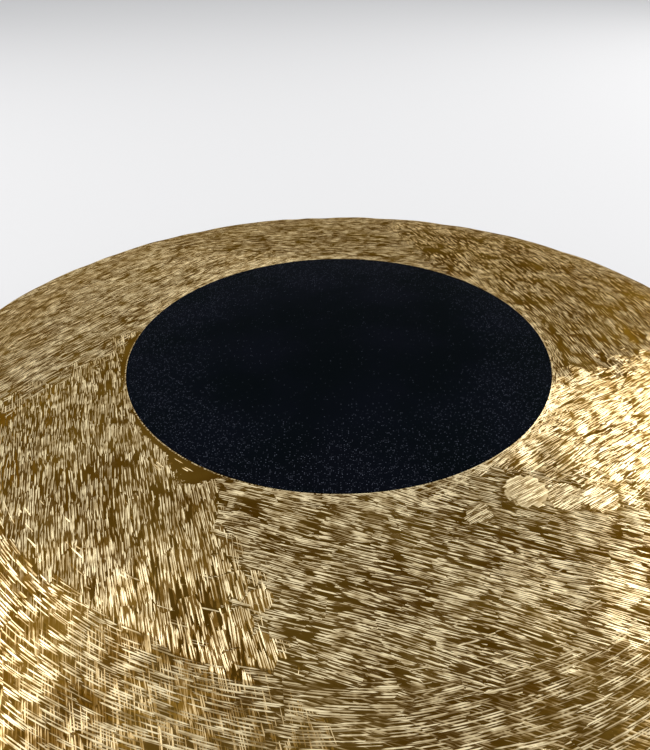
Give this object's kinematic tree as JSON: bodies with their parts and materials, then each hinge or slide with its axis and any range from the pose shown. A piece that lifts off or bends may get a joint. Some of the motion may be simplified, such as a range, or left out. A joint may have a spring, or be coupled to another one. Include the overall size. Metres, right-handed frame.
{
  "type": "tam-tam gong",
  "caption": "Round bronze tam-tam gong: shallow domed face scraped bright, turned-back rim with cord holes, matt black centre.",
  "frame": {"origin": "centre of the rim's edge, on the surface that the gong lies on", "axes": "+Z is the gong's axis and points out of the struck face; +Y points to the side with the two cord holes, which is the top when the gong hangs; +X is to the right of someone who stands at -Y and looks along +Y"},
  "size_m": [0.61, 0.61, 0.0717],
  "materials": {
    "scraped_bronze": "hand-scraped in overlapping strokes, bright on a dark gold ground",
    "black_coat": "matt, finely speckled"
  },
  "bodies": {
    "root": {"gong_plate": "scraped_bronze", "centre_coat": "black_coat"}
  },
  "joints": []
}
